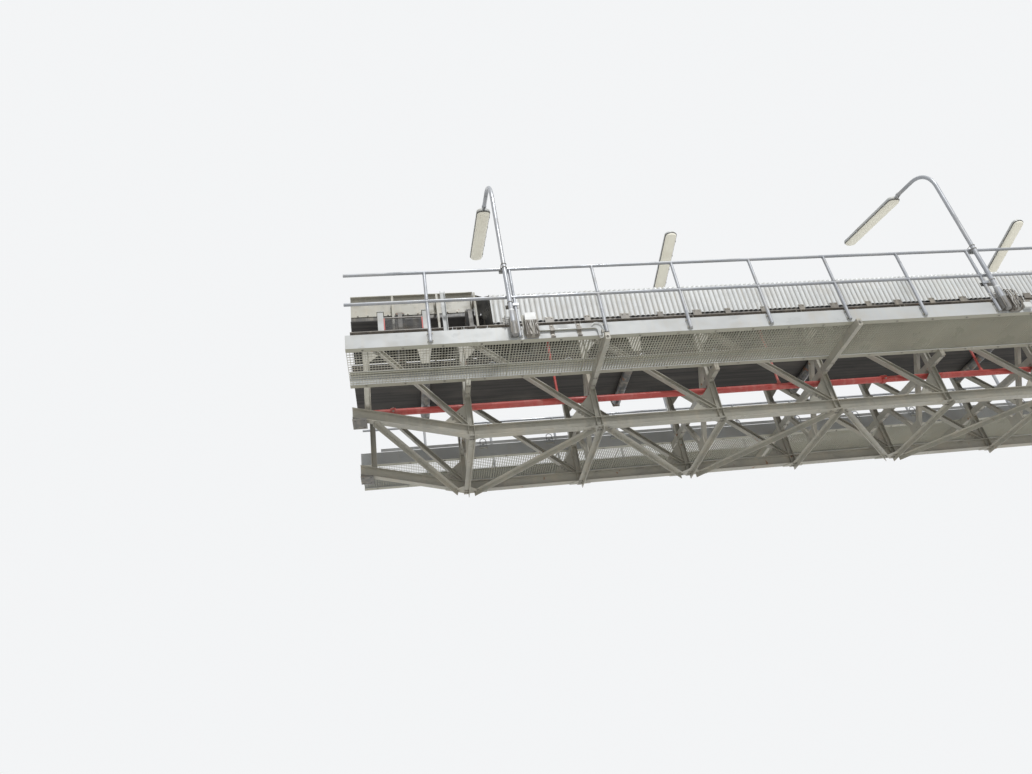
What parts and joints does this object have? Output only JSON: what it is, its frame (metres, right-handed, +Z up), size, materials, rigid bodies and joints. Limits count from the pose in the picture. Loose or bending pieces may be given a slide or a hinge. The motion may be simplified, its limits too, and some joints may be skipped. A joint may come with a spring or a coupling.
{
  "type": "conveyor gallery",
  "caption": "Open steel conveyor gallery: a covered belt between two lattice trusses, grating walkways with handrails on both sides, bent lamp poles and a red fire pipe.",
  "frame": {"origin": "middle of the length and width, on the underside of the bottom bracing", "axes": "+X along the gallery away from the tower end, +Z up square to the walkway floor, -Y the near side"},
  "size_m": [12.06, 4.098, 4.0936],
  "materials": {
    "belt_rubber": "matte",
    "fire_red": "satin",
    "galvanised": "matte",
    "hood_sheet": "satin",
    "lamp_body": "matte",
    "lamp_diffuser": "satin",
    "roller_paint": "satin",
    "steel_paint": "satin"
  },
  "bodies": {
    "gallery": {"bearing_plates": "steel_paint", "belt_guards": "fire_red", "bottom_diagonals": "steel_paint", "bottom_struts": "steel_paint", "channel_post": "steel_paint", "chord_stubs": "hood_sheet", "conduit": "galvanised", "conveyor_belt": "belt_rubber", "diffusers": "lamp_diffuser", "far_bottom_chord": "steel_paint", "far_diagonals": "steel_paint", "far_grating": "galvanised", "far_gussets": "steel_paint", "far_handrail": "galvanised", "far_posts": "steel_paint", "far_top_chord": "steel_paint", "far_walkway_arms": "steel_paint", "far_walkway_channels": "steel_paint", "fire_pipe": "fire_red", "floor_beams": "steel_paint", "hood": "hood_sheet", "idler_frames": "steel_paint", "idler_rollers": "roller_paint", "junction_boxes": "lamp_body", "lamp_poles": "galvanised", "luminaires": "lamp_body", "near_bottom_chord": "steel_paint", "near_diagonals": "steel_paint", "near_grating": "galvanised", "near_gussets": "steel_paint", "near_handrail": "galvanised", "near_posts": "steel_paint", "near_top_chord": "steel_paint", "near_walkway_arms": "steel_paint", "near_walkway_channels": "steel_paint", "pipe_couplings": "fire_red", "pipe_risers": "fire_red", "pipe_saddles": "steel_paint", "return_roller_frames": "steel_paint", "skirtboards": "steel_paint", "top_struts": "steel_paint", "v_braces": "steel_paint"},
    "return_roller_1": {"return_roller_1": "roller_paint"},
    "return_roller_2": {"return_roller_2": "roller_paint"},
    "return_roller_3": {"return_roller_3": "roller_paint"},
    "return_roller_4": {"return_roller_4": "roller_paint"}
  },
  "joints": [
    {"name": "return_roller_1_spin", "type": "hinge", "parent": "gallery", "child": "return_roller_1", "pos_m": [-5.03, 0, 1.3432], "axis": [0, 1, 0], "continuous": true},
    {"name": "return_roller_2_spin", "type": "hinge", "parent": "gallery", "child": "return_roller_2", "pos_m": [-2.03, 0, 1.3432], "axis": [0, 1, 0], "continuous": true},
    {"name": "return_roller_3_spin", "type": "hinge", "parent": "gallery", "child": "return_roller_3", "pos_m": [0.97, 0, 1.3432], "axis": [0, 1, 0], "continuous": true},
    {"name": "return_roller_4_spin", "type": "hinge", "parent": "gallery", "child": "return_roller_4", "pos_m": [3.97, 0, 1.3432], "axis": [0, 1, 0], "continuous": true}
  ]
}
